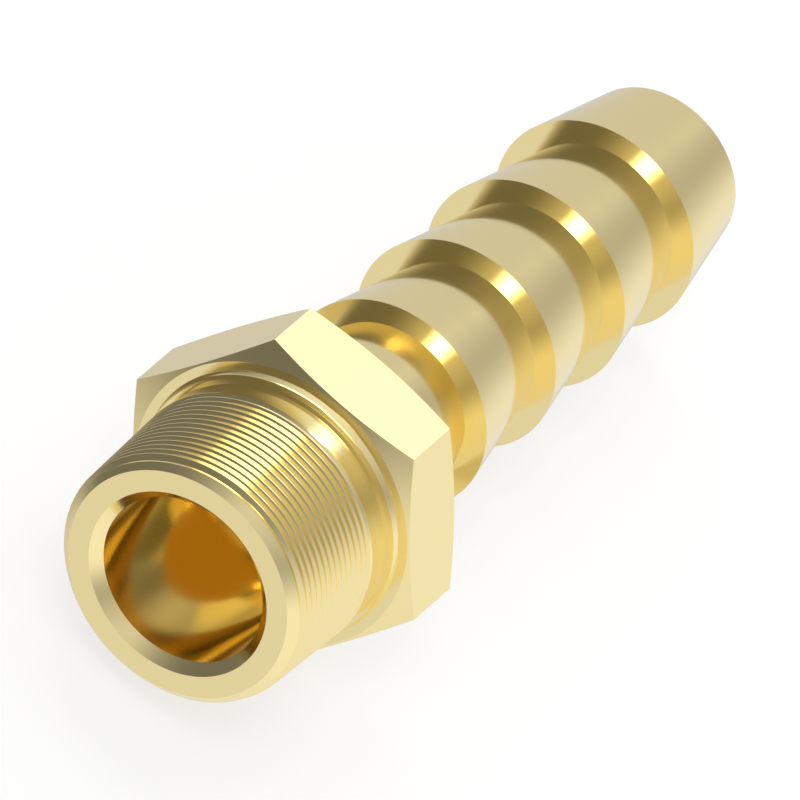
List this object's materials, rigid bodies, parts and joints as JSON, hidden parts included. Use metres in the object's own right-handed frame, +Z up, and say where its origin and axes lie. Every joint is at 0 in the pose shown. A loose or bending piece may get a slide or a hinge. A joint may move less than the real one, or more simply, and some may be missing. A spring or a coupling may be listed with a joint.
{
  "type": "hose barb tail",
  "caption": "Brass pipe fitting that joins a hose to a taper threaded port: male pipe thread, spanner hexagon and barbed hose tail with a through bore.",
  "frame": {"origin": "centre of the threaded end's face, on the axis of the fitting", "axes": "+X along the axis towards the hose end, +Z up through a flat of the hexagon, with the opposite flat down"},
  "size_m": [0.057, 0.022, 0.019],
  "materials": {
    "brass": "bright turned brass, unplated and unlacquered"
  },
  "bodies": {
    "root": {"hose_barb_tail": "brass"}
  },
  "joints": []
}
